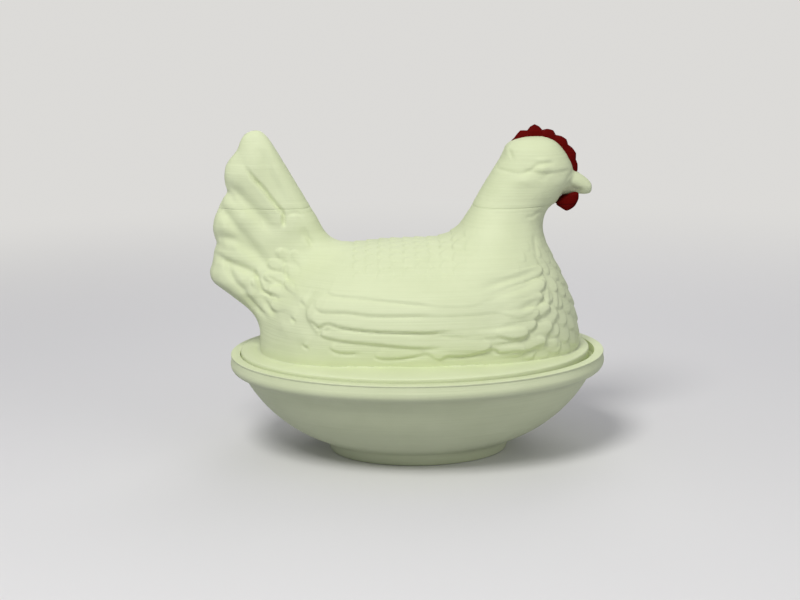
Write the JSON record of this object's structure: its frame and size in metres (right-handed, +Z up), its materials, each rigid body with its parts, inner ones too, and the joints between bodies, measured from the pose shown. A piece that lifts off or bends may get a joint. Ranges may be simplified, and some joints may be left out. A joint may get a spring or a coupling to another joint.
{
  "type": "hen on nest dish",
  "caption": "Covered oval dish whose lift-off cover is a sitting hen with a raised fan tail and a red comb and wattles.",
  "frame": {"origin": "middle of the dish's foot, on its underside, where the dish stands", "axes": "+X towards the hen's head along the dish's long axis, +Y towards the hen's left side, +Z up"},
  "size_m": [0.1761, 0.1344, 0.1461],
  "materials": {
    "pale_plastic": "matt, with faint level layer lines",
    "red_plastic": "satin deep red"
  },
  "bodies": {
    "dish": {"dish": "pale_plastic"},
    "cover": {"hen_cover": "pale_plastic", "comb": "red_plastic", "wattle_left": "red_plastic", "wattle_right": "red_plastic"}
  },
  "joints": [
    {"name": "cover_lift", "type": "slide", "parent": "dish", "child": "cover", "axis": [0, 0, 1], "range_m": [0, 0.12]}
  ]
}
